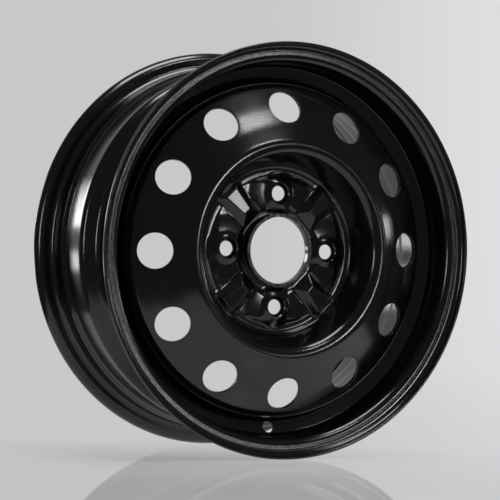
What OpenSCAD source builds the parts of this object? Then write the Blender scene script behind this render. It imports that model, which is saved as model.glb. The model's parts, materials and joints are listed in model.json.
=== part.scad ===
// Steel wheel rim: a rolled hoop, with a stamped disc pressed into its well and welded there.
// Each piece is drawn lying flat. Heights run along the axle from the wheel's middle plane and
// are positive towards the outer face. The wheel is then stood upright, outer face towards -Y.

/* [Rolled hoop] */
// Diameter on which the tyre beads seat
bead_seat_d = 380.2; // [355:0.1:410]
// Width between the two bead walls
rim_w = 152.4; // [135:0.1:180]
// Thickness of the hoop's sheet
rim_t = 2.5; // [2:0.1:3.2]
// Height of the flange above the bead seat
flange_h = 17.3; // [15.5:0.1:20]
// Reach of the flange from the bead wall to the edge of its lip
flange_w = 9.4; // [7.5:0.1:11]
// Straight end of the lip, past its curve
lip_flat = 0.4; // [0.2:0.1:1.5]
// Rounding between the bead wall and the bead seat
seat_fillet = 6.5; // [4:0.1:7]
// Fall of the bead seat away from the bead wall, in degrees
seat_slope = 5; // [3:0.5:7]
// Distance of the safety hump's crest from the bead wall
hump_inset = 21; // [18:0.1:24]
// Half of the safety hump's width
hump_half_w = 5.2; // [4.5:0.1:6.5]
// Height of the safety hump above the end of the bead seat
hump_h = 1.6; // [1:0.1:2]
// Rounding of the safety hump
hump_fillet = 4; // [3.2:0.1:4.5]

/* [Well] */
// Depth of the well below the bead seat
well_depth = 18.6; // [16:0.1:22]
// Width of the well's floor
well_w = 43.5; // [38:0.1:52]
// Width of the outer ledge between the safety hump and the well
outer_ledge_w = 4.5; // [4:0.1:8]
// Drop of the outer ledge below the bead seat
outer_ledge_drop = 2.5; // [2:0.1:3.5]
// Drop of the inner ledge below the bead seat
inner_ledge_drop = 3.1; // [2:0.1:4]
// Lean of the well's outer wall from upright, in degrees
outer_wall_lean = 23.5; // [18:0.5:30]
// Lean of the well's inner wall from upright, in degrees
inner_wall_lean = 30; // [20:0.5:40]
// Rounding of the well's outer wall, top and bottom
outer_wall_fillet = 4.2; // [3.5:0.1:5]
// Rounding of the well's inner wall, top and bottom
inner_wall_fillet = 8; // [4:0.1:10]

/* [Valve hole] */
// Diameter of the valve hole
valve_d = 11.5; // [8:0.1:12]
// Place of the valve hole around the wheel, in degrees from +X
valve_angle = -90; // [-180:1:180]

/* [Disc] */
// Thickness of the disc's sheet
disc_t = 3.5; // [2.8:0.1:4]
// Distance of the mounting face from the wheel's middle plane
wheel_offset = 45; // [38:0.5:50]
// Length of the disc's skirt that seats in the well
skirt_seat = 18.5; // [14:0.1:24]
// Rounding between the skirt and the cone
shoulder_fillet = 12; // [8:0.1:15]
// Slope of the cone inside the vents' circle, in degrees
cone_slope = 24; // [22:0.5:26]
// Further slope of the cone outside the vents' circle, in degrees
cone_bow = 2; // [0.5:0.5:4]
// Rounding of the cone's bow
cone_fillet = 300; // [150:10:400]
// Height of the crown's unrounded corner above the mounting face
crown_h = 41.9; // [40:0.1:44]
// Rounding of the crown
crown_fillet = 11; // [8:0.1:12]
// Width of the brow between the crown and the cone
brow_w = 25.3; // [24:0.1:27]
// Slope of the brow, in degrees
brow_slope = 27; // [25.5:0.5:29]
// Rounding between the brow and the cone
brow_fillet = 115; // [60:1:120]
// Lean of the bowl's wall from upright, in degrees
bowl_lean = 22.3; // [16:0.1:26]
// Diameter of the bowl's floor, to the foot of its wall
bowl_d = 169; // [160:0.5:176]
// Rounding at the foot of the bowl's wall
bowl_fillet = 7; // [4.5:0.1:8]

/* [Hub bore] */
// Diameter of the hub bore
bore_d = 67.1; // [60:0.1:70]
// Height of the bore's collar above the mounting face
collar_h = 11.7; // [9.5:0.1:14]
// Rounding between the collar and the floor
collar_fillet = 1; // [0.5:0.1:2]

/* [Stud holes] */
// Number of stud holes
stud_n = 4; // [4:1:4]
// Diameter of the circle that the studs stand on
stud_circle_d = 114.3; // [108:0.1:118]
// Diameter of a stud hole
stud_hole_d = 14.8; // [13:0.1:16]
// Length of a stud hole's straight wall
stud_wall = 2.2; // [1.6:0.1:2.6]
// Gap between the back of a nut seat and the mounting face
seat_gap = 2.2; // [1.8:0.1:2.6]
// Diameter of a nut's conical seat
seat_d = 20; // [19:0.1:21]
// Full angle of a nut's conical seat, in degrees
seat_angle = 60; // [56:1:70]
// Width of the flat crest around a nut seat
seat_crest = 0.5; // [0.3:0.1:0.9]
// Diameter of the dome around a nut seat, at the floor
dome_d = 43.6; // [41:0.1:44.4]

/* [Stud pads] */
// Height of a stud pad above the floor
pad_rise = 2.8; // [2.2:0.1:3.4]
// Slope of a stud pad's inner and outer edges, in degrees
pad_bevel = 30; // [27:0.5:40]
// Floor left between a stud pad and the collar
pad_inner_gap = 6; // [4:0.1:8]
// Floor left between a stud pad and the foot of the bowl
pad_outer_gap = 9; // [7.5:0.1:11]
// Angle that a stud pad spans, in degrees
pad_span = 64; // [58:1:66]

/* [Stiffening ribs] */
// Floor left between a rib and the collar
rib_inner_gap = 5; // [3:0.1:7]
// Floor left between a rib and the foot of the bowl
rib_outer_gap = 1.5; // [1:0.1:4]
// Height of a rib's top at its inner end
rib_inner_rise = 7; // [6:0.1:8]
// Height of a rib's top at its outer end
rib_outer_rise = 5; // [4:0.1:6]
// Length of the slope at a rib's inner end
rib_inner_run = 11; // [8:0.1:14]
// Length of the slope at a rib's outer end
rib_outer_run = 4; // [3:0.1:6]
// Half of a rib's width at the floor, at its inner end
rib_half_w = 12; // [11:0.1:13]
// Angle by which each side of a rib spreads outwards, in degrees
rib_flare = 3.5; // [2:0.1:5]
// Lean of a rib's sides from upright, in degrees
rib_lean = 50; // [44:1:52]

/* [Vents] */
// Number of vents
vent_n = 12; // [8:1:14]
// Diameter of a vent
vent_d = 35.2; // [28:0.1:37]
// Distance of the vents' centres from the skirt
vent_inset = 25.2; // [22:0.1:30]
// Turn of the vents away from the stud holes, in degrees
vent_turn = 1.95; // [-15:0.05:15]

/* [Weld beads] */
// Number of weld beads
weld_n = 8; // [4:1:12]
// Leg of a weld bead
weld_leg = 3.2; // [2:0.1:3.4]
// Angle that a weld bead spans, in degrees
weld_span = 24; // [12:1:28]
// Turn of the first weld bead, in degrees
weld_turn = 10.5; // [-22:0.5:22]

/* [Hidden] */
$fn = 96;
// Largest turn between two points of a rounded corner, in degrees
arc_step = 9;
// Depth to which raised shapes sink into the floor that carries them
sink = 1;
// Amount by which a cut runs past the surface that it cuts
past = 1;
// Size of the blocks that bound a rib's sides
block = 100;
paint = "#1c1c1e";
bare_weld = "#262628";

// Hoop: radii and heights of its corners
half_w = rim_w / 2;
seat_r = bead_seat_d / 2;
lip_r = seat_r + flange_h;
lip_h = half_w + flange_w;
flange_curve = flange_w - lip_flat;
hump_at = half_w - hump_inset;
hump_foot = hump_at + hump_half_w;
seat_end_r = seat_r - (half_w - hump_foot) * tan(seat_slope);
hump_r = seat_end_r + hump_h;
ledge_start = hump_at - hump_half_w;
outer_ledge_r = seat_r - outer_ledge_drop;
inner_ledge_r = seat_r - inner_ledge_drop;
well_r = seat_r - well_depth;
outer_wall_top = ledge_start - outer_ledge_w;
well_outer = outer_wall_top - (outer_ledge_r - well_r) * tan(outer_wall_lean);
well_inner = well_outer - well_w;
inner_wall_top = well_inner - (inner_ledge_r - well_r) * tan(inner_wall_lean);

// Disc: radii and heights of its corners
disc_r = well_r - rim_t;
skirt_edge = well_outer - skirt_seat;
floor_h = wheel_offset + disc_t;
crown_top = wheel_offset + crown_h;
bowl_r = bowl_d / 2;
crown_r = bowl_r + (crown_top - floor_h) * tan(bowl_lean);
brow_r = crown_r + brow_w;
brow_top = crown_top - brow_w * tan(brow_slope);
vent_ring_r = disc_r - vent_inset;
vent_h = brow_top - (vent_ring_r - brow_r) * tan(cone_slope);
shoulder_h = vent_h - vent_inset * tan(cone_slope + cone_bow);
bore_r = bore_d / 2;
collar_r = bore_r + disc_t;
collar_top = wheel_offset + collar_h;

// Stud holes: heights of a nut seat
stud_r = stud_hole_d / 2;
seat_back = wheel_offset + seat_gap;
seat_foot = seat_back + stud_wall;
seat_flare = tan(seat_angle / 2);
seat_top = seat_foot + (seat_d / 2 - stud_r) / seat_flare;
seat_wall = disc_t / cos(seat_angle / 2);

// Corners of the hoop's tyre side from the inner lip to the outer one: radius, height, rounding
rim_corners = [
    [lip_r, -lip_h, 0],
    [lip_r, -half_w, flange_curve],
    [seat_r, -half_w, seat_fillet],
    [seat_end_r, -hump_foot, hump_fillet],
    [hump_r, -hump_at, hump_fillet],
    [inner_ledge_r, -ledge_start, hump_fillet],
    [inner_ledge_r, inner_wall_top, inner_wall_fillet],
    [well_r, well_inner, inner_wall_fillet],
    [well_r, well_outer, outer_wall_fillet],
    [outer_ledge_r, outer_wall_top, outer_wall_fillet],
    [outer_ledge_r, ledge_start, hump_fillet],
    [hump_r, hump_at, hump_fillet],
    [seat_end_r, hump_foot, hump_fillet],
    [seat_r, half_w, seat_fillet],
    [lip_r, half_w, flange_curve],
    [lip_r, lip_h, 0],
];

// Corners of the disc's front from the skirt's edge to the collar's edge: radius, height, rounding
disc_corners = [
    [disc_r, skirt_edge, 0],
    [disc_r, shoulder_h, shoulder_fillet],
    [vent_ring_r, vent_h, cone_fillet],
    [brow_r, brow_top, brow_fillet],
    [crown_r, crown_top, crown_fillet],
    [bowl_r, floor_h, bowl_fillet],
    [collar_r, floor_h, collar_fillet],
    [collar_r, collar_top, 0],
];

// Plane vectors
function unit(v) = v / norm(v);
function left_of(v) = [-v.y, v.x];
function turned(v, angle) = [v.x * cos(angle) - v.y * sin(angle), v.x * sin(angle) + v.y * cos(angle)];
function flat(corner) = [corner.x, corner.y];

// Step from one corner of a line to the next, and the turn at a corner
function step_from(corners, i) = flat(corners[i + 1]) - flat(corners[i]);
function turn_at(corners, i) =
    let (before = step_from(corners, i - 1), after = step_from(corners, i))
    atan2(before.x * after.y - before.y * after.x, before * after);

// Length that a rounding takes from the steps beside its corner, and the share that they have room for
function trim_at(corners, i) =
    i == 0 || i == len(corners) - 1 ? 0 : corners[i].z * tan(abs(turn_at(corners, i)) / 2);
function room_at(corners, i) = min(
    1,
    norm(step_from(corners, i - 1)) / (trim_at(corners, i - 1) + trim_at(corners, i)),
    norm(step_from(corners, i)) / (trim_at(corners, i) + trim_at(corners, i + 1))
);

// Points of one rounded corner, each with the sheet's direction through its thickness
function rounded_corner(corners, i) =
    let (
        ahead = unit(step_from(corners, i - 1)),
        turn = turn_at(corners, i),
        room = room_at(corners, i),
        bend = corners[i].z * room * sign(turn),
        start = flat(corners[i]) - trim_at(corners, i) * room * ahead,
        centre = start + bend * left_of(ahead),
        steps = ceil(abs(turn) / arc_step)
    )
    [
        for (k = [0 : steps])
            let (inward = turned(left_of(ahead), turn * k / steps))
            [centre - bend * inward, inward]
    ];

// All points of a sheet's line, with its two ends
function sheet_line(corners) =
    let (last = len(corners) - 1)
    [
        [flat(corners[0]), left_of(unit(step_from(corners, 0)))],
        for (i = [1 : last - 1]) each rounded_corner(corners, i),
        [flat(corners[last]), left_of(unit(step_from(corners, last - 1)))],
    ];

// Outline of a sheet of one thickness, to the left of its line
function sheet_outline(corners, thickness) =
    let (line = sheet_line(corners), last = len(line) - 1)
    concat(
        [for (i = [0 : last]) line[i][0]],
        [for (i = [last : -1 : 0]) line[i][0] + thickness * line[i][1]]
    );

// Stands a wheel drawn flat upright, with its outer face towards -Y
module upright() {
    rotate([90, 0, 0])
        children();
}

// Repeats a shape around the axle
module around(count, first = 0) {
    for (i = [0 : count - 1])
        rotate(first + i * 360 / count)
            children();
}

// Rim: the rolled hoop that carries the tyre
module rim() {
    color(paint)
        upright()
            difference() {
                rotate_extrude()
                    polygon(sheet_outline(rim_corners, rim_t));
                valve_hole();
            }
}

// Valve hole: a drilling square to the well's outer wall, halfway up it
module valve_hole() {
    rotate(valve_angle)
        translate([(well_r + outer_ledge_r) / 2, 0, (well_outer + outer_wall_top) / 2])
            rotate([0, -outer_wall_lean, 0])
                cylinder(d = valve_d, h = 4 * rim_t, center = true);
}

// Disc: the stamped centre, one sheet with its raised shapes hollow behind
module disc() {
    color(paint)
        upright()
            difference() {
                union() {
                    difference() {
                        union() {
                            rotate_extrude()
                                polygon(sheet_outline(disc_corners, disc_t));
                            raised_shapes();
                        }
                        translate([0, 0, -disc_t])
                            raised_shapes();
                    }
                    around(stud_n)
                        nut_seat_wall();
                }
                around(stud_n)
                    stud_hole();
                around(vent_n, vent_turn)
                    vent();
            }
}

// Shapes pressed up out of the floor of the bowl
module raised_shapes() {
    around(stud_n, -pad_span / 2)
        stud_pad();
    around(stud_n)
        stud_dome();
    around(stud_n, 180 / stud_n)
        stiffening_rib();
}

// Stud pad: a raised piece of ring with bevelled edges
module stud_pad() {
    inner = collar_r + pad_inner_gap;
    outer = bowl_r - pad_outer_gap;
    run = pad_rise / tan(pad_bevel);
    foot = sink / tan(pad_bevel);
    rotate_extrude(angle = pad_span)
        polygon([
            [inner - foot, floor_h - sink],
            [outer + foot, floor_h - sink],
            [outer - run, floor_h + pad_rise],
            [inner + run, floor_h + pad_rise],
        ]);
}

// Stud dome: the cone that lifts a nut's seat above its pad
module stud_dome() {
    crest_r = seat_d / 2 + seat_crest;
    translate([stud_circle_d / 2, 0, floor_h - sink])
        cylinder(d1 = dome_d + 2 * sink, r2 = crest_r, h = seat_top - floor_h + sink);
}

// Nut seat wall: the sheet behind a conical nut seat, down to the end of the stud hole
module nut_seat_wall() {
    wall_top = seat_top - disc_t + past / 4;
    translate([stud_circle_d / 2, 0, seat_back])
        cylinder(
            r1 = stud_r + seat_wall - stud_wall * seat_flare,
            r2 = stud_r + seat_wall + (wall_top - seat_foot) * seat_flare,
            h = wall_top - seat_back
        );
}

// Stud hole: a straight drilling with a conical seat above it
module stud_hole() {
    translate([stud_circle_d / 2, 0, wheel_offset - past])
        cylinder(d = stud_hole_d, h = seat_top - wheel_offset + past);
    translate([stud_circle_d / 2, 0, seat_foot])
        cylinder(
            r1 = stud_r,
            r2 = seat_d / 2 + past * seat_flare,
            h = seat_top - seat_foot + past
        );
}

// Stiffening rib: a raised bar with sloped ends and sides, wider and lower towards the outside
module stiffening_rib() {
    inner = collar_r + rib_inner_gap;
    outer = bowl_r - rib_outer_gap;
    intersection() {
        rotate([90, 0, 0])
            linear_extrude(height = block, center = true)
                polygon([
                    [inner, floor_h - sink],
                    [inner, floor_h],
                    [inner + rib_inner_run, floor_h + rib_inner_rise],
                    [outer - rib_outer_run, floor_h + rib_outer_rise],
                    [outer, floor_h],
                    [outer, floor_h - sink],
                ]);
        rib_side(1, inner);
        rib_side(-1, inner);
    }
}

// One side of a rib: a block that leans over the rib and spreads outwards with it
module rib_side(side, inner) {
    translate([inner, side * rib_half_w, floor_h])
        rotate(side * rib_flare)
            rotate([side * rib_lean, 0, 0])
                translate([0, -side * block / 2, 0])
                    cube([2 * block, block, block], center = true);
}

// Vent: a round hole square to the cone
module vent() {
    translate([vent_ring_r, 0, vent_h])
        rotate([0, cone_slope + cone_bow / 2, 0])
            cylinder(d = vent_d, h = 4 * disc_t, center = true);
}

// Weld beads: rounded fillets between the skirt's edge and the floor of the well
module weld_beads() {
    color(bare_weld)
        upright()
            around(weld_n, weld_turn - weld_span / 2)
                rotate_extrude(angle = weld_span)
                    polygon(concat(
                        [[disc_r, skirt_edge]],
                        [
                            for (a = [0 : 2 * arc_step : 90])
                                [disc_r - weld_leg * cos(a), skirt_edge - weld_leg * sin(a)]
                        ]
                    ));
}

rim();
disc();
weld_beads();
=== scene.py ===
"""Looks of a stamped steel wheel rim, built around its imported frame."""
import json
import math

import bmesh
import bpy
import numpy as np
from mathutils import Matrix, Vector


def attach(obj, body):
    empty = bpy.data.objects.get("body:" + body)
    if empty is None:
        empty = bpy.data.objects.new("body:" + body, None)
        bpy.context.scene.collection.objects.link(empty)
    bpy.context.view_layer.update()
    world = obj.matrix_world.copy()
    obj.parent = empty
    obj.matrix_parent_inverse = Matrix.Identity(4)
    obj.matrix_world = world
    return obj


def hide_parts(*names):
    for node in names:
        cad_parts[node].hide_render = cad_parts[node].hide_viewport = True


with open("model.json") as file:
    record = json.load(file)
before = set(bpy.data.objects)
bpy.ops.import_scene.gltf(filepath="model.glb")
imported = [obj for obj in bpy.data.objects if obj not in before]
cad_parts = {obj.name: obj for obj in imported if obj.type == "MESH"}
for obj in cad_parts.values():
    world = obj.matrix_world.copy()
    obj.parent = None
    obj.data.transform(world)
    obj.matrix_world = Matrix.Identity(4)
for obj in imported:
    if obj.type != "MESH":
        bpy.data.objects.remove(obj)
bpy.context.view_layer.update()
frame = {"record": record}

# Sizes are in millimetres, like the part's own, and turn into metres when a mesh is made.
# Pieces are drawn lying flat: x and y in the wheel's plane, height along the axle, outwards positive.
MM = 0.001
mounts = {mount["name"]: mount for mount in frame["record"]["mounts"]}

# Hoop
seat_r = mounts["tyre_bead_seats"]["dims"]["r_mm"]
half_w = mounts["tyre_bead_seats"]["dims"]["length_mm"] / 2
rim_t = mounts["valve_hole"]["dims"]["length_mm"]
flange_h = 17.3
flange_w = 9.4
lip_flat = 0.4
seat_fillet = 6.5
seat_slope = math.radians(5)
hump_inset = 21
hump_half_w = 5.2
hump_h = 1.6
hump_fillet = 4
well_depth = 18.6
well_w = 43.5
outer_ledge_w = 4.5
outer_ledge_drop = 2.5
inner_ledge_drop = 3.1
outer_wall_lean = math.radians(23.5)
inner_wall_lean = math.radians(30)
outer_wall_fillet = 4.2
inner_wall_fillet = 8
valve_r = mounts["valve_hole"]["dims"]["r_mm"]
valve_angle = math.radians(-90)
groove_inner_r = 194.3
groove_outer_r = 198.4
groove_slope = math.radians(24)
groove_depth = 1
lip_rounding = 1.1
valve_rounding = 0.5
valve_margin = 1.2

lip_r = seat_r + flange_h
lip_h = half_w + flange_w
hump_at = half_w - hump_inset
hump_foot = hump_at + hump_half_w
seat_end_r = seat_r - (half_w - hump_foot) * math.tan(seat_slope)
hump_r = seat_end_r + hump_h
ledge_start = hump_at - hump_half_w
outer_ledge_r = seat_r - outer_ledge_drop
inner_ledge_r = seat_r - inner_ledge_drop
well_r = seat_r - well_depth
outer_wall_top = ledge_start - outer_ledge_w
well_outer = outer_wall_top - (outer_ledge_r - well_r) * math.tan(outer_wall_lean)
well_inner = well_outer - well_w
inner_wall_top = well_inner - (inner_ledge_r - well_r) * math.tan(inner_wall_lean)

# Disc
disc_t = 3.5
wheel_offset = -mounts["hub_face"]["pos_m"][1] / MM
skirt_seat = 18.5
shoulder_fillet = 12
cone_slope = math.radians(24)
cone_bow = math.radians(2)
cone_fillet = 300
crown_h = 41.9
crown_fillet = 11
brow_w = 25.3
brow_slope = math.radians(27)
brow_fillet = 115
bowl_lean = math.radians(22.3)
bowl_r = 84.5
bowl_fillet = 7
bore_r = mounts["hub_bore"]["dims"]["r_mm"]
collar_h = 11.7
collar_fillet = 1
vent_count = 12
vent_r = 17.6
vent_inset = 25.2
vent_turn = math.radians(1.95)
vent_rounding = 0.4
vent_margin = 2
disc_edge_rounding = 0.6

disc_r = well_r - rim_t
skirt_edge = well_outer - skirt_seat
floor_h = wheel_offset + disc_t
crown_top = wheel_offset + crown_h
crown_r = bowl_r + (crown_top - floor_h) * math.tan(bowl_lean)
brow_r = crown_r + brow_w
brow_top = crown_top - brow_w * math.tan(brow_slope)
vent_ring_r = disc_r - vent_inset
vent_h = brow_top - (vent_ring_r - brow_r) * math.tan(cone_slope)
shoulder_h = vent_h - vent_inset * math.tan(cone_slope + cone_bow)
collar_r = bore_r + disc_t
collar_top = wheel_offset + collar_h

# Stud holes, pads and ribs
stud_count = mounts["stud_holes"]["dims"]["count"]
stud_ring_r = mounts["stud_holes"]["dims"]["pcd_mm"] / 2
stud_r = mounts["stud_holes"]["dims"]["hole_r_mm"]
stud_wall = 2.2
seat_gap = 2.2
nut_seat_r = 10
nut_seat_half_angle = math.radians(30)
seat_crest = 0.5
dome_r = 21.8
swell_start = 7
swell_curve = 0.0037
pad_rise = 3.2
pad_low = 0.4
pad_bevel = math.radians(30)
pad_collar_gap = 6
pad_wall_gap = 9
rib_collar_gap = 5
rib_wall_gap = 1.5
rib_inner_rise = 7
rib_outer_rise = 5
rib_inner_run = 11
rib_outer_run = 4
rib_half_w = 12
rib_flare = math.radians(3.5)
rib_lean = math.radians(50)
press_blend = 0.8
swell_blend = 0.3
rib_blend = 0.6
floor_blend = 1
collar_clear = 0.6
collar_fade = 2.5
wall_fade = 1.5
crest_margin = 1.6
crest_step = 0.6
seat_lip_out = 0.35
seat_lip_drop = 0.15
seat_lip_in = 0.1
seat_lip_depth = 0.6
seat_shares = (0.25, 0.5, 0.75, 0.93)
wall_top_drop = 0.2
stud_back_out = 0.35
stud_back_rise = 0.4
stud_back_flat = 2.2
back_crest_in = 1.4
back_crest_out = 0.4

crest_r = nut_seat_r + seat_crest
pad_inner_r = collar_r + pad_collar_gap
pad_outer_r = bowl_r - pad_wall_gap
rib_inner_r = collar_r + rib_collar_gap
rib_outer_r = bowl_r - rib_wall_gap
seat_back = wheel_offset + seat_gap
seat_foot = seat_back + stud_wall
seat_top = seat_foot + (nut_seat_r - stud_r) / math.tan(nut_seat_half_angle)

# Weld beads
weld_count = 8
weld_leg = 3.2
weld_span = math.radians(24)
weld_turn = math.radians(10.5)
weld_least = 0.05
ripple_length = 1.8
ripple_depth = 0.09

# Fineness of the meshes: columns around the axle, steps along curves, patches around holes
curve_step = math.radians(8)
rim_columns = 280
columns_per_vent = 26
groove_border = 2
groove_steps = 4
valve_patch = 3.2
valve_half_columns = 3
vent_patch_edge_gap = 7
vent_patch_inner = 18.5
cone_crown_gap = 6
cone_edge_gap = 0.5
stud_patch_outer = 16.5
stud_patch_inner = 15.8
stud_half_columns = 11
floor_tolerance = 0.01
rib_top_column = 8
rib_foot_column = 16
column_bend_rate = 1.15
patch_shares = (0.72, 0.42, 0.18)
edge_arc = np.radians([0, 30, 60, 90])
punch_arc = np.radians([0, 25, 50, 70, 90])
surface_passes = 6
rib_edge_passes = 8
weld_steps = 96
weld_round_points = 9

# Finishes of faces, by their place in the list of materials
PAINT, SHEARED, ROLLED = range(3)

# Corners of each sheet's outer line: radius, height, rounding, longest step on the way to the next
rim_corners = [
    (lip_r, -lip_h, 0, 5),
    (lip_r, -half_w, flange_w - lip_flat, 5),
    (seat_r, -half_w, seat_fillet, 5),
    (seat_end_r, -hump_foot, hump_fillet, 5),
    (hump_r, -hump_at, hump_fillet, 5),
    (inner_ledge_r, -ledge_start, hump_fillet, 6),
    (inner_ledge_r, inner_wall_top, inner_wall_fillet, 5),
    (well_r, well_inner, inner_wall_fillet, 6),
    (well_r, well_outer, outer_wall_fillet, 2),
    (outer_ledge_r, outer_wall_top, outer_wall_fillet, 2),
    (outer_ledge_r, ledge_start, hump_fillet, 5),
    (hump_r, hump_at, hump_fillet, 5),
    (seat_end_r, hump_foot, hump_fillet, 5),
    (seat_r, half_w, seat_fillet, 5),
    (lip_r, half_w, flange_w - lip_flat, 5),
    (lip_r, lip_h, 0, 5),
]
disc_corners = [
    (disc_r, skirt_edge, 0, 8),
    (disc_r, shoulder_h, shoulder_fillet, 2.6),
    (vent_ring_r, vent_h, cone_fillet, 2.6),
    (brow_r, brow_top, brow_fillet, 2.6),
    (crown_r, crown_top, crown_fillet, 4),
    (bowl_r, floor_h, bowl_fillet, 0.85),
    (collar_r, floor_h, collar_fillet, 3),
    (collar_r, collar_top, 0, 3),
]


def left_of(v):
    return np.array([-v[1], v[0]])


def lengths_along(rows):
    """Distance of each row from the first, along the sheet's line."""
    steps = np.linalg.norm(np.diff(rows[:, :2], axis=0), axis=1)
    return np.concatenate([[0], np.cumsum(steps)])


def stood_upright(points):
    """Points of a piece drawn lying flat, turned so that its outer face looks to -Y, in metres."""
    points = np.array(points) * MM
    return np.stack([points[:, 0], -points[:, 2], points[:, 1]], -1)


def sheet_rows(corners, arc_step, arc_length=3.0):
    """Rows of a sheet's outer line: radius, height, and the direction through its thickness."""
    points = [np.array(corner[:2], float) for corner in corners]
    steps = [b - a for a, b in zip(points, points[1:])]
    lines = [np.concatenate([points[0], left_of(steps[0] / np.linalg.norm(steps[0]))])]
    for i in range(1, len(points) - 1):
        ahead = steps[i - 1] / np.linalg.norm(steps[i - 1])
        after = steps[i] / np.linalg.norm(steps[i])
        turn = math.atan2(ahead[0] * after[1] - ahead[1] * after[0], ahead @ after)
        bend = corners[i][2] * math.copysign(1, turn)
        start = points[i] - abs(bend) * math.tan(abs(turn) / 2) * ahead
        centre = start + bend * left_of(ahead)
        rows = []
        count = max(math.ceil(abs(turn) / arc_step), math.ceil(abs(turn * bend) / arc_length))
        for k in range(count + 1):
            a = turn * k / count
            side = left_of(ahead)
            inward = math.cos(a) * side + math.sin(a) * left_of(side)
            rows.append(np.concatenate([centre - bend * inward, inward]))
        lines += straight_rows(lines[-1], rows[0], corners[i - 1][3]) + rows
    inward = left_of(steps[-1] / np.linalg.norm(steps[-1]))
    end = np.concatenate([points[-1], inward])
    lines += straight_rows(lines[-1], end, corners[-2][3]) + [end]
    return np.array(lines)


def straight_rows(start, end, longest):
    """Rows between two ends of a straight stretch, without the ends."""
    count = math.ceil(np.linalg.norm(end[:2] - start[:2]) / longest)
    return [start + (end - start) * k / count for k in range(1, count)]


def split_rows(rows, chosen, parts):
    """Rows with the steps that start at the chosen ones split into equal parts."""
    out = []
    for row, after, split in zip(rows, rows[1:], chosen):
        for k in range(parts if split else 1):
            between = row + (after - row) * k / parts
            between[2:] /= np.linalg.norm(between[2:])
            out.append(between)
    return np.array(out + [rows[-1]])


def rounded_edge(row, ahead, thickness, rounding):
    """Points around the cut edge of a sheet, from its outer side to its inner side."""
    point, inward = row[:2], row[2:]
    near = point - rounding * ahead + rounding * inward
    far = point - rounding * ahead + (thickness - rounding) * inward
    out = [near - rounding * math.cos(a) * inward + rounding * math.sin(a) * ahead for a in edge_arc]
    out += [far + rounding * math.cos(a) * ahead + rounding * math.sin(a) * inward for a in edge_arc]
    return np.array(out)


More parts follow.
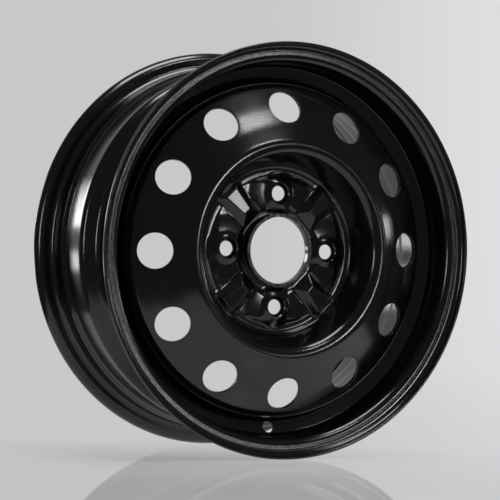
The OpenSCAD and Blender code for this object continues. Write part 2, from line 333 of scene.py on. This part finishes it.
class SheetMesh:
    """A revolved sheet as a closed mesh of quads, with round holes and dents in its inner side."""

    def __init__(self, rows, thickness, columns, column_angles, edge_rounding, lift=None):
        self.rows = rows
        self.thickness = thickness
        self.columns = columns
        even = 2 * math.pi * np.arange(columns) / columns
        self.angles = np.array([column_angles(row, even) for row in self.rows])
        self.edge_rounding = edge_rounding
        self.lift = lift
        self.verts = []
        self.faces = []
        self.looks = []
        self.holes = []
        self.end_looks = [PAINT, PAINT]
        self.back_looks = np.full(len(self.rows) - 1, PAINT)
        self.back_dents = np.zeros(len(self.rows))

    def raised(self, points):
        """Points moved up by the shapes that are pressed out of the sheet."""
        if self.lift is None:
            return points
        points = points.copy()
        points[..., 2] += self.lift(points[..., 0], points[..., 1])
        return points

    def revolved(self, line, angles):
        """Points of a line of (radius, height) at every column."""
        r, h = line[:, 0, None], line[:, 1, None]
        x = r * np.cos(angles)
        y = r * np.sin(angles)
        return np.stack([x, y, np.broadcast_to(h, x.shape)], -1)

    def add(self, points):
        """Adds points and returns their numbers in the same arrangement."""
        start = len(self.verts)
        flat = points.reshape(-1, 3)
        self.verts.extend(flat.tolist())
        return (start + np.arange(len(flat))).reshape(points.shape[:-1])

    def strip(self, a, b, look):
        """Quads between two closed loops of points."""
        for p, q, r, s in zip(a, np.roll(a, -1), np.roll(b, -1), b):
            self.faces.append((p, q, r, s))
        self.looks += [look] * len(a)

    def add_hole(self, row_low, row_high, column_low, column_high, surface, rings):
        """Sets a hole into the cells between two rows and two columns."""
        self.holes.append((row_low, row_high, column_low, column_high, surface, rings))

    def build(self):
        base = self.revolved(self.rows, self.angles)
        normal = self.revolved(self.rows[:, 2:], self.angles)
        front = self.raised(base)
        back = front + (self.thickness - self.back_dents)[:, None, None] * normal
        rounding = self.edge_rounding
        ends = []
        for i, near in ((0, 1), (-1, -2)):
            ahead = self.rows[i, :2] - self.rows[near, :2]
            ahead = ahead / np.linalg.norm(ahead)
            edge = rounded_edge(self.rows[i], ahead, self.thickness, rounding)
            ends.append(self.revolved(edge, self.angles[i]))
        # The sheet's end rows are the first and last rows of its rounded edges
        front[0], back[0] = ends[0][0], ends[0][-1]
        front[-1], back[-1] = ends[1][0], ends[1][-1]
        open_cells = np.ones((len(self.rows) - 1, self.columns), bool)
        used = np.ones((len(self.rows), self.columns), bool)
        for low, high, left, right, _, _ in self.holes:
            inside = np.arange(left, right) % self.columns
            open_cells[low:high, inside] = False
            used[low + 1:high, inside[1:]] = False
        numbers = []
        plain = np.full(len(self.rows) - 1, PAINT)
        for grid, row_looks in ((front, plain), (back, self.back_looks)):
            index = np.full(used.shape, -1)
            index[used] = self.add(grid[used])
            numbers.append(index)
            across = np.roll(index, -1, 1)
            cells = np.stack([index[:-1], across[:-1], across[1:], index[1:]], -1)
            self.faces.extend(map(tuple, cells[open_cells]))
            looks = np.broadcast_to(row_looks[:, None], open_cells.shape)
            self.looks += looks[open_cells].tolist()
        for end, row, look in zip(ends, (0, -1), self.end_looks):
            loops = [numbers[0][row]] + list(self.add(end[1:-1])) + [numbers[1][row]]
            for a, b in zip(loops, loops[1:]):
                self.strip(a, b, look)
        for hole in self.holes:
            self.build_hole(base, numbers, *hole)

    def build_hole(self, base, numbers, low, high, left, right, surface, rings):
        border = [(low, j) for j in range(left, right)]
        border += [(i, right) for i in range(low, high)]
        border += [(high, j) for j in range(right, left, -1)]
        border += [(i, left) for i in range(high, low, -1)]
        row = np.array([i for i, _ in border])
        column = np.array([j for _, j in border]) % self.columns
        outline = surface.to_plane(base[row, column])
        direction = outline / np.linalg.norm(outline, axis=1, keepdims=True)
        loops = []
        outer, inner = rings[0], rings[-1]
        for share in patch_shares:
            plane = direction * outer[0] + share * (outline - direction * outer[0])
            loops.append(self.ring(surface, plane, outer))
        for ring in rings:
            loops.append(self.ring(surface, direction * ring[0], ring))
        for share in reversed(patch_shares):
            plane = direction * inner[0] + share * (outline - direction * inner[0])
            loops.append(self.ring(surface, plane, inner))
        loops = [self.add(loop) for loop in loops]
        loops = [numbers[0][row, column], *loops, numbers[1][row, column]]
        looks = [PAINT] * (len(loops) - 1)
        first = len(patch_shares) + 1
        looks[first:first + len(rings) - 1] = [ring[3] for ring in rings[1:]]
        for a, b, look in zip(loops, loops[1:], looks):
            self.strip(a, b, look)

    def ring(self, surface, plane, ring):
        """Points of one loop around a hole: at a depth, at a height, or at the back above a height."""
        _, kind, value, _ = ring
        points, normal = surface.from_plane(plane)
        if kind == "height":
            points[..., 2] = value
            return points
        if kind == "depth":
            return self.raised(points) + value * normal
        points = self.raised(points) + self.thickness * normal
        points[..., 2] = np.maximum(points[..., 2], value)
        return points

    def to_object(self, name):
        """The mesh as an object, stood upright."""
        return mesh_object(name, stood_upright(self.verts), self.faces, self.looks)


def mesh_object(name, verts, faces, looks, sharp_angle=50):
    mesh = bpy.data.meshes.new(name)
    mesh.from_pydata(verts.tolist(), [], [tuple(int(i) for i in face) for face in faces])
    for material in finishes:
        mesh.materials.append(material)
    mesh.polygons.foreach_set("material_index", [int(look) for look in looks])
    edit = bmesh.new()
    edit.from_mesh(mesh)
    bmesh.ops.recalc_face_normals(edit, faces=edit.faces)
    edit.to_mesh(mesh)
    edit.free()
    mesh.polygons.foreach_set("use_smooth", [True] * len(mesh.polygons))
    mesh.set_sharp_from_angle(angle=math.radians(sharp_angle))
    piece = bpy.data.objects.new(name, mesh)
    bpy.context.scene.collection.objects.link(piece)
    return piece


class SheetSurface:
    """Part of a revolved sheet around a point on it, with plane coordinates square to it there."""

    def __init__(self, rows, r, angle):
        self.rows = rows[rows[:, 0].argsort()]
        _, h, *inward = self.at(np.array([r]))[0]
        cos, sin = math.cos(angle), math.sin(angle)
        along = left_of(inward)
        self.centre = np.array([r * cos, r * sin, h])
        self.axis = np.array([inward[0] * cos, inward[0] * sin, inward[1]])
        self.u = np.array([along[0] * cos, along[0] * sin, along[1]])
        self.v = np.array([-sin, cos, 0.0])

    def at(self, r):
        return np.stack([np.interp(r, self.rows[:, 0], self.rows[:, k]) for k in range(4)], -1)

    def to_plane(self, points):
        offset = points - self.centre
        return np.stack([offset @ self.u, offset @ self.v], -1)

    def from_plane(self, plane):
        points = self.centre + plane[:, :1] * self.u + plane[:, 1:] * self.v
        for _ in range(surface_passes):
            row = self.at(np.hypot(points[:, 0], points[:, 1]))
            gap = (points[:, 2] - row[:, 1]) * row[:, 3]
            points = points - gap[:, None] * self.axis
        r = np.hypot(points[:, 0], points[:, 1])
        row = self.at(r)
        flat = (row[:, 2] / r)[:, None] * points[:, :2]
        return points, np.concatenate([flat, row[:, 3:]], 1)


class UnrolledSurface:
    """A revolved sheet laid out flat around a point: along its line, and around the axle."""

    def __init__(self, rows, centre_length, angle):
        self.rows = rows
        self.angle = angle
        self.length = lengths_along(rows) - centre_length

    def at(self, length):
        return np.stack([np.interp(length, self.length, self.rows[:, k]) for k in range(4)], -1)

    def to_plane(self, points):
        r = np.hypot(points[:, 0], points[:, 1])
        gap = np.hypot(r[:, None] - self.rows[:, 0], points[:, 2:] - self.rows[:, 1])
        turn = np.arctan2(points[:, 1], points[:, 0]) - self.angle
        turn = (turn + math.pi) % (2 * math.pi) - math.pi
        return np.stack([self.length[gap.argmin(1)], r * turn], -1)

    def from_plane(self, plane):
        row = self.at(plane[:, 0])
        angle = self.angle + plane[:, 1] / row[:, 0]
        cos, sin = np.cos(angle), np.sin(angle)
        points = np.stack([row[:, 0] * cos, row[:, 0] * sin, row[:, 1]], -1)
        return points, np.stack([row[:, 2] * cos, row[:, 2] * sin, row[:, 3]], -1)


def punched_rings(radius, thickness, rounding, margin):
    """Loops of a punched hole, from the sheet's outer side through its wall to the inner side."""
    front = [(radius + margin, 0.0), (radius + margin / 2, 0.0)]
    front += [(radius + rounding * (1 - math.sin(a)), rounding * (1 - math.cos(a))) for a in punch_arc]
    rings = [(r, "depth", depth, PAINT) for r, depth in front]
    rings += [(r, "depth", thickness - depth, PAINT) for r, depth in reversed(front)]
    # The wall between the two roundings is left as the punch tore it
    rings[len(front)] = (*rings[len(front)][:3], SHEARED)
    return rings


def smooth_min(a, b, blend):
    share = np.maximum(blend - np.abs(a - b), 0) / blend
    return np.minimum(a, b) - share * share * blend / 4


def smooth_max(a, b, blend):
    return -smooth_min(-a, -b, blend)


def turned(x, y, angle):
    """Coordinates along and across a direction."""
    return x * math.cos(angle) + y * math.sin(angle), y * math.cos(angle) - x * math.sin(angle)


def rib_half(along):
    """Half of a rib's width at the floor."""
    return rib_half_w + (along - rib_inner_r) * math.tan(rib_flare)


def rib_top(along):
    """Height of a rib's top face above the floor."""
    start = rib_inner_r + rib_inner_run
    run = rib_outer_r - rib_outer_run - start
    return rib_inner_rise + (along - start) * (rib_outer_rise - rib_inner_rise) / run


def rib_height(along, across):
    """Height of a stiffening rib's faces above the floor, below zero outside it."""
    side = (rib_half(along) - np.abs(across)) / math.tan(rib_lean)
    inner_end = (along - rib_inner_r) * rib_inner_rise / rib_inner_run
    outer_end = (rib_outer_r - along) * rib_outer_rise / rib_outer_run
    ends = smooth_min(inner_end, outer_end, press_blend)
    return smooth_min(smooth_min(side, rib_top(along), press_blend), ends, press_blend)


def pressed_height(x, y):
    """Height by which pads, domes and ribs are pressed up out of the bowl's floor."""
    r = np.hypot(x, y)
    crest = seat_top - floor_h
    dome_slope = crest / (dome_r - crest_r)
    domes = np.full_like(r, -np.inf)
    swell = np.full_like(r, pad_low)
    ribs = np.full_like(r, -np.inf)
    rib_gap = np.full_like(r, np.inf)
    for k in range(stud_count):
        stud_angle = 2 * math.pi * k / stud_count
        along, across = turned(x, y, stud_angle)
        gap = np.hypot(along - stud_ring_r, across)
        dome = (dome_r - gap) * dome_slope
        domes = np.maximum(domes, smooth_min(dome, np.full_like(r, crest), press_blend))
        fall = swell_curve * np.maximum(gap - swell_start, 0) ** 2
        swell = smooth_max(swell, pad_rise - fall, swell_blend)
        along, across = turned(x, y, stud_angle + math.pi / stud_count)
        ahead = along > 0
        ribs = np.where(ahead, np.maximum(ribs, rib_height(along, across)), ribs)
        rib_gap = np.where(ahead, np.minimum(rib_gap, np.abs(across) - rib_half(along)), rib_gap)
    edges = np.minimum(r - pad_inner_r, pad_outer_r - r) * math.tan(pad_bevel)
    edges = np.minimum(edges, rib_gap)
    height = smooth_max(domes, smooth_min(swell, edges, press_blend), press_blend)
    height = smooth_max(height, ribs, rib_blend)
    height = smooth_max(height, np.zeros_like(r), floor_blend)
    # The collar and the bowl's wall stay as they are
    fade_in = np.clip((r - collar_r - collar_clear) / collar_fade, 0, 1)
    fade_out = np.clip((bowl_r - r) / wall_fade, 0, 1)
    return height * fade_in * fade_out


def row_at(rows, r, low, high):
    """Number of the row nearest to a radius, on the stretch between two heights."""
    gap = np.abs(rows[:, 0] - r)
    gap[(rows[:, 1] < low) | (rows[:, 1] > high)] = np.inf
    return int(gap.argmin())


def build_rim():
    # A column lies on the valve hole's own angle
    def column_angles(row, even):
        return valve_angle + even

    rows = sheet_rows(rim_corners, curve_step)
    inner_r = rows[:, 0] + rim_t * rows[:, 2]
    on_flange = (rows[:, 1] > 0) & (inner_r > groove_inner_r - groove_border)
    on_flange &= inner_r < groove_outer_r + groove_border
    rows = split_rows(rows, on_flange, groove_steps)
    sheet = SheetMesh(rows, rim_t, rim_columns, column_angles, lip_rounding)
    # The valve hole lies midway up the well's outer wall
    length = lengths_along(rows)
    centre = np.array([(well_r + outer_ledge_r) / 2, (well_outer + outer_wall_top) / 2])
    near = np.hypot(*(rows[:, :2] - centre).T).argsort()[:2]
    share = np.hypot(*(rows[near, :2] - centre).T)
    centre_length = (length[near[0]] * share[1] + length[near[1]] * share[0]) / share.sum()
    surface = UnrolledSurface(rows, centre_length, valve_angle)
    reach = valve_r + valve_patch
    low = int(np.abs(surface.length + reach).argmin())
    high = int(np.abs(surface.length - reach).argmin())
    rings = punched_rings(valve_r, rim_t, valve_rounding, valve_margin)
    sheet.add_hole(low, high, -valve_half_columns, valve_half_columns, surface, rings)
    # A groove rolled into the front flange's inner side, with a flat floor that slopes outwards
    inner = rows[:, :2] + rim_t * rows[:, 2:]
    in_groove = (rows[:, 1] > 0) & (inner[:, 0] > groove_inner_r) & (inner[:, 0] < groove_outer_r)
    middle_r = (groove_inner_r + groove_outer_r) / 2
    middle = inner[in_groove][np.abs(inner[in_groove, 0] - middle_r).argmin()] - [0, groove_depth]
    upright = np.array([math.sin(groove_slope), math.cos(groove_slope)])
    dents = (inner - middle) @ upright / (rows[:, 2:] @ upright)
    sheet.back_dents = np.where(in_groove, np.clip(dents, 0, rim_t / 2), 0)
    sheet.back_looks[in_groove[:-1] & in_groove[1:]] = ROLLED
    sheet.build()
    return sheet.to_object("painted_rim")


def stud_rings():
    """Loops of a stud hole: its crest, the conical nut seat, the straight wall and the back."""
    slope = math.tan(nut_seat_half_angle)
    rings = [
        (crest_r + crest_margin, "depth", 0),
        (crest_r + crest_step, "depth", 0),
        (nut_seat_r + seat_lip_out, "height", seat_top - seat_lip_drop),
        (nut_seat_r - seat_lip_in, "height", seat_top - seat_lip_depth),
    ]
    for share in seat_shares:
        r = nut_seat_r + share * (stud_r - nut_seat_r)
        rings.append((r, "height", seat_foot + (r - stud_r) / slope))
    rings += [
        (stud_r, "height", seat_foot - wall_top_drop),
        (stud_r, "height", seat_back + stud_back_rise),
        (stud_r + stud_back_out, "height", seat_back),
        (stud_r + stud_back_flat, "height", seat_back),
        (crest_r - back_crest_in, "back_above", seat_back),
        (crest_r + back_crest_out, "depth", disc_t),
        (crest_r + crest_margin, "depth", disc_t),
    ]
    return [(*ring, PAINT) for ring in rings]


def rib_edge(r, lift):
    """Angle between a rib's middle and its side, at a share of the rib's height."""
    angle = np.arcsin(rib_half_w / r)
    for _ in range(rib_edge_passes):
        along = np.clip(r * np.cos(angle), rib_inner_r, rib_outer_r)
        top = np.clip(rib_top(along), rib_outer_rise, rib_inner_rise)
        angle = np.arcsin((rib_half(along) - lift * top * math.tan(rib_lean)) / r)
    return angle


def disc_column_angles(columns):
    """Columns that start evenly at the vents and follow the ribs' edges on the floor."""
    part = 2 * math.pi / stud_count
    marks = np.array([0, rib_top_column, rib_foot_column, columns / stud_count / 2])
    even_edges = marks * 2 * math.pi / columns

    def column_angles(row, even):
        r, h = row[0], row[1]
        share = 0.0
        if r <= crown_r:
            share = min(1.0, (crown_top - h) / (crown_top - floor_h) * column_bend_rate)
        share = share * share * (3 - 2 * share)
        rib_edges = np.array([0, rib_edge(r, 1), rib_edge(r, 0), part / 2])
        from_rib = (even % part) - part / 2
        bent = np.sign(from_rib) * np.interp(np.abs(from_rib), even_edges, rib_edges)
        return even + (1 - share) * vent_turn + share * (bent - from_rib)

    return column_angles


def build_disc():
    columns = vent_count * columns_per_vent
    rows = sheet_rows(disc_corners, curve_step)
    column_angles = disc_column_angles(columns)
    sheet = SheetMesh(rows, disc_t, columns, column_angles, disc_edge_rounding, pressed_height)
    on_cone = (rows[:, 0] > crown_r + cone_crown_gap) & (rows[:, 0] < disc_r - cone_edge_gap)
    cone = rows[on_cone & (rows[:, 1] > shoulder_h)]
    low = row_at(rows, disc_r - vent_patch_edge_gap, shoulder_h, crown_top)
    high = row_at(rows, vent_ring_r - vent_patch_inner, vent_h, crown_top)
    rings = punched_rings(vent_r, disc_t, vent_rounding, vent_margin)
    half = columns_per_vent // 2
    for k in range(vent_count):
        surface = SheetSurface(cone, vent_ring_r, vent_turn + 2 * math.pi * k / vent_count)
        middle = k * columns_per_vent
        sheet.add_hole(low, high, middle - half, middle + half, surface, rings)
    floor = rows[np.abs(rows[:, 1] - floor_h) < floor_tolerance]
    floor_range = (floor_h - floor_tolerance, floor_h + floor_tolerance)
    low = row_at(rows, stud_ring_r + stud_patch_outer, *floor_range)
    high = row_at(rows, stud_ring_r - stud_patch_inner, *floor_range)
    half = stud_half_columns
    for k in range(stud_count):
        surface = SheetSurface(floor, stud_ring_r, 2 * math.pi * k / stud_count)
        middle = k * columns // stud_count
        sheet.add_hole(low, high, middle - half, middle + half, surface, stud_rings())
    sheet.end_looks[1] = SHEARED
    sheet.build()
    return sheet.to_object("painted_disc")


def build_weld_beads():
    """Rippled fillets between the skirt's edge and the floor of the well, with tapered ends."""
    verts = []
    faces = []
    for k in range(weld_count):
        middle = weld_turn + 2 * math.pi * k / weld_count
        start = len(verts)
        for i in range(weld_steps + 1):
            share = i / weld_steps
            angle = middle + (share - 0.5) * weld_span
            run = share * weld_span * disc_r
            taper = min(1, min(share, 1 - share) * weld_span * disc_r / weld_leg)
            ripple = 1 - ripple_depth * (1 + math.cos(2 * math.pi * run / ripple_length)) / 2
            leg = max(weld_leg * ripple * math.sqrt(1 - (1 - taper) ** 2), weld_least)
            for j in range(weld_round_points):
                a = math.pi / 2 * j / (weld_round_points - 1)
                r = disc_r - leg * math.cos(a)
                verts.append((r * math.cos(angle), r * math.sin(angle), skirt_edge - leg * math.sin(a)))
            verts.append((disc_r * math.cos(angle), disc_r * math.sin(angle), skirt_edge))
        ring = weld_round_points + 1
        for i in range(weld_steps):
            a, b = start + i * ring, start + (i + 1) * ring
            for j in range(ring):
                faces.append((a + j, a + (j + 1) % ring, b + (j + 1) % ring, b + j))
        faces.append(tuple(range(start, start + ring)))
        last = start + weld_steps * ring
        faces.append(tuple(range(last, last + ring)))
    return mesh_object("painted_weld_beads", stood_upright(verts), faces, [PAINT] * len(faces))


# Materials
def node_material(name):
    material = bpy.data.materials.new(name)
    material.use_nodes = True
    nodes = material.node_tree.nodes
    return material, nodes, material.node_tree.links, nodes["Principled BSDF"]


def noise(nodes, links, place, scale, detail):
    texture = nodes.new("ShaderNodeTexNoise")
    texture.inputs["Scale"].default_value = scale
    texture.inputs["Detail"].default_value = detail
    links.new(place.outputs["Object"], texture.inputs["Vector"])
    return texture.outputs["Fac"]


def black_paint():
    """Semi-gloss black paint over sheet steel: orange peel, and gloss that varies a little."""
    material, nodes, links, shader = node_material("black_paint")
    shader.inputs["Base Color"].default_value = (0.004, 0.004, 0.0043, 1)
    shader.inputs["IOR"].default_value = 1.65
    place = nodes.new("ShaderNodeTexCoord")
    gloss = nodes.new("ShaderNodeMapRange")
    gloss.inputs["From Min"].default_value = 0.3
    gloss.inputs["From Max"].default_value = 0.7
    gloss.inputs["To Min"].default_value = 0.12
    gloss.inputs["To Max"].default_value = 0.18
    links.new(noise(nodes, links, place, scale=35, detail=3), gloss.inputs["Value"])
    links.new(gloss.outputs["Result"], shader.inputs["Roughness"])
    bump = nodes.new("ShaderNodeBump")
    bump.inputs["Strength"].default_value = 0.1
    bump.inputs["Distance"].default_value = 0.0004
    links.new(noise(nodes, links, place, scale=700, detail=2), bump.inputs["Height"])
    links.new(bump.outputs["Normal"], shader.inputs["Normal"])
    return material


def torn_steel(name, grain_dark, grain_pale):
    """Dull steel with a torn grain, where the sheet was cut or rolled."""
    material, nodes, links, shader = node_material(name)
    shader.inputs["Metallic"].default_value = 1
    shader.inputs["Roughness"].default_value = 0.3
    place = nodes.new("ShaderNodeTexCoord")
    grain = nodes.new("ShaderNodeMapRange")
    grain.inputs["From Min"].default_value = 0.35
    grain.inputs["From Max"].default_value = 0.65
    grain.inputs["To Min"].default_value = grain_dark
    grain.inputs["To Max"].default_value = grain_pale
    links.new(noise(nodes, links, place, scale=400, detail=3), grain.inputs["Value"])
    links.new(grain.outputs["Result"], shader.inputs["Base Color"])
    bump = nodes.new("ShaderNodeBump")
    bump.inputs["Distance"].default_value = 0.0004
    links.new(noise(nodes, links, place, scale=900, detail=2), bump.inputs["Height"])
    links.new(bump.outputs["Normal"], shader.inputs["Normal"])
    return material


finishes = [
    black_paint(),
    torn_steel("sheared_edge", grain_dark=0.03, grain_pale=0.16),
    torn_steel("rolled_groove", grain_dark=0.2, grain_pale=0.42),
]


# Camera, as the photograph sees the wheel: degrees and metres, with the lens and sensor in millimetres
camera_azimuth = -28.579
camera_elevation = -0.221
camera_roll = 1.975
camera_distance = 2.116544
camera_aim = Vector((-0.00346, 0, -0.00058))
camera_lens = 148.25
camera_sensor = 36

# Stage: a pale floor that sweeps up into a backdrop; x across the view, y away from the camera
stage_back = 2.6
stage_front = -0.52
stage_spread = 0.2
stage_wing = 1.5
stage_wing_start = 0.3
stage_bend = 0.8
stage_bend_steps = 24
stage_top = 3.2
floor_colour = (0.8, 0.8, 0.81)
floor_gloss = 0.62
floor_roughness = 0.03
# Painted light on the backdrop's glow: darker at the left and brighter at the right, between two places
# across the view
backdrop_shade_left = 0.58
backdrop_light_right = 0.74
backdrop_turn = -0.05
backdrop_reach = 0.62
# Painted light: the floor starts to glow a little in front of the wheel and glows fully just behind it,
# which weakens the wheel's shadow
floor_glow_start = -0.4
floor_glow_full = 0.15

# Light from a grey world and from lamps that face the wheel
world_grey = 0.075

# Name, azimuth and elevation in degrees, distance, width and height in metres, power in watts
lamps = [
    ("light_over", 0, 84, 2.3, 1.3, 1.3, 32),
    ("light_top", 21, 45.2, 2.2, 0.5, 0.09, 3.3),
    ("light_front", 22, 5.5, 2.4, 0.3, 0.3, 4.2),
    ("light_left", -64, 6, 2.0, 0.2, 0.6, 3),
    ("light_right", 81.6, 7.6, 2.0, 0.1, 0.2, 0.75),
    ("light_right_near", 57, 6, 2.0, 0.08, 0.3, 0.5),
    ("light_back", -151, 11.5, 4.1, 0.9, 0.95, 19),
    ("light_back_low", -152, -5, 1.1, 0.25, 0.1, 0.4),
]


def stage_material():
    """Pale satin floor that fades into a glowing pale backdrop, for the camera and in reflections, from
    a little in front of the wheel to the back; the glow is painted light, brighter towards the right,
    and it weakens the wheel's shadow on the floor.
    """
    material = bpy.data.materials.new("stage_pale")
    material.use_nodes = True
    nodes, links = material.node_tree.nodes, material.node_tree.links
    nodes.clear()
    matt = nodes.new("ShaderNodeBsdfDiffuse")
    matt.inputs["Color"].default_value = (*floor_colour, 1)
    gloss = nodes.new("ShaderNodeBsdfGlossy")
    gloss.inputs["Color"].default_value = (1, 1, 1, 1)
    gloss.inputs["Roughness"].default_value = floor_roughness
    floor = nodes.new("ShaderNodeMixShader")
    fresnel = nodes.new("ShaderNodeFresnel")
    mirror = nodes.new("ShaderNodeMath")
    mirror.operation = "MULTIPLY"
    mirror.inputs[1].default_value = floor_gloss
    links.new(fresnel.outputs[0], mirror.inputs[0])
    links.new(mirror.outputs[0], floor.inputs["Fac"])
    links.new(matt.outputs[0], floor.inputs[1])
    links.new(gloss.outputs[0], floor.inputs[2])
    place = nodes.new("ShaderNodeTexCoord")
    axes = nodes.new("ShaderNodeSeparateXYZ")
    links.new(place.outputs["Object"], axes.inputs[0])
    # Painted light: the glow brightens from the left of the view to the right
    across = nodes.new("ShaderNodeMapRange")
    across.interpolation_type = "SMOOTHSTEP"
    across.inputs["From Min"].default_value = backdrop_turn
    across.inputs["From Max"].default_value = backdrop_reach
    across.inputs["To Min"].default_value = backdrop_shade_left
    across.inputs["To Max"].default_value = backdrop_light_right
    links.new(axes.outputs["X"], across.inputs["Value"])
    backdrop = nodes.new("ShaderNodeEmission")
    links.new(across.outputs["Result"], backdrop.inputs["Strength"])
    # Painted light: how much the floor glows, rising from in front of the wheel to behind it, which
    # weakens the wheel's shadow on the floor
    far = nodes.new("ShaderNodeMapRange")
    far.interpolation_type = "SMOOTHSTEP"
    far.inputs["From Min"].default_value = floor_glow_start
    far.inputs["From Max"].default_value = floor_glow_full
    links.new(axes.outputs["Y"], far.inputs["Value"])
    path = nodes.new("ShaderNodeLightPath")
    seen = path.outputs["Is Camera Ray"]
    for name in ("Is Glossy Ray", "Is Transmission Ray"):
        either = nodes.new("ShaderNodeMath")
        either.operation = "MAXIMUM"
        links.new(seen, either.inputs[0])
        links.new(path.outputs[name], either.inputs[1])
        seen = either.outputs[0]
    share = nodes.new("ShaderNodeMath")
    share.operation = "MULTIPLY"
    links.new(seen, share.inputs[0])
    links.new(far.outputs["Result"], share.inputs[1])
    mix = nodes.new("ShaderNodeMixShader")
    links.new(share.outputs[0], mix.inputs["Fac"])
    links.new(floor.outputs[0], mix.inputs[1])
    links.new(backdrop.outputs[0], mix.inputs[2])
    output = nodes.new("ShaderNodeOutputMaterial")
    links.new(mix.outputs[0], output.inputs["Surface"])
    return material


def build_stage():
    line = [(stage_front, 0), (stage_wing_start, 0)]
    for k in range(stage_bend_steps + 1):
        a = math.pi / 2 * k / stage_bend_steps
        line.append((stage_back - stage_bend * (1 - math.sin(a)), stage_bend * (1 - math.cos(a))))
    line.append((stage_back, stage_top))
    verts = []
    for depth, height in line:
        half = stage_spread * (camera_distance + depth)
        wing = stage_wing * max(depth - stage_wing_start, 0)
        verts += [(-half - wing, depth, height), (half, depth, height)]
    faces = [(2 * i, 2 * i + 1, 2 * i + 3, 2 * i + 2) for i in range(len(line) - 1)]
    mesh = bpy.data.meshes.new("stage_sweep")
    mesh.from_pydata(verts, [], faces)
    mesh.polygons.foreach_set("use_smooth", [True] * len(mesh.polygons))
    mesh.materials.append(stage_material())
    stage = bpy.data.objects.new("stage_sweep", mesh)
    stage.location = (0, 0, -lip_r * MM)
    stage.rotation_euler = (0, 0, math.radians(camera_azimuth))
    bpy.context.scene.collection.objects.link(stage)


def outward(azimuth, elevation):
    """Direction away from the wheel; azimuth 0 is straight out from its face, 90 to the right."""
    a = math.radians(azimuth)
    e = math.radians(elevation)
    return Vector((math.sin(a) * math.cos(e), -math.cos(a) * math.cos(e), math.sin(e)))


def build_camera():
    roll = math.radians(camera_roll)
    back = outward(camera_azimuth, camera_elevation)
    right = Vector((0, 0, 1)).cross(back).normalized()
    up = back.cross(right)
    right, up = (
        math.cos(roll) * right + math.sin(roll) * up,
        math.cos(roll) * up - math.sin(roll) * right,
    )
    data = bpy.data.cameras.new("camera")
    data.lens = camera_lens
    data.sensor_width = camera_sensor
    camera = bpy.data.objects.new("camera", data)
    turn = Matrix((right, up, back)).transposed().to_4x4()
    camera.matrix_world = Matrix.Translation(camera_aim + back * camera_distance) @ turn
    bpy.context.scene.collection.objects.link(camera)
    bpy.context.scene.camera = camera


def softbox(name, azimuth, elevation, distance, width, height, power):
    """An area light that faces the wheel, unseen by the camera itself."""
    away = outward(azimuth, elevation)
    data = bpy.data.lights.new(name, "AREA")
    data.shape = "RECTANGLE"
    data.size = width
    data.size_y = height
    data.energy = power
    lamp = bpy.data.objects.new(name, data)
    lamp.location = away * distance
    lamp.rotation_euler = away.to_track_quat("Z", "Y").to_euler()
    lamp.visible_camera = False
    bpy.context.scene.collection.objects.link(lamp)


def build_lights():
    world = bpy.data.worlds.new("studio")
    world.use_nodes = True
    background = world.node_tree.nodes["Background"]
    background.inputs["Color"].default_value = (world_grey, world_grey, world_grey, 1)
    bpy.context.scene.world = world
    for lamp in lamps:
        softbox(*lamp)


bpy.context.scene.view_settings.view_transform = "Standard"
build_camera()
build_stage()
build_lights()

for build, node in ((build_rim, "rim"), (build_disc, "disc"), (build_weld_beads, "weld_beads")):
    piece = build()
    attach(piece, "root")
    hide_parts(node)
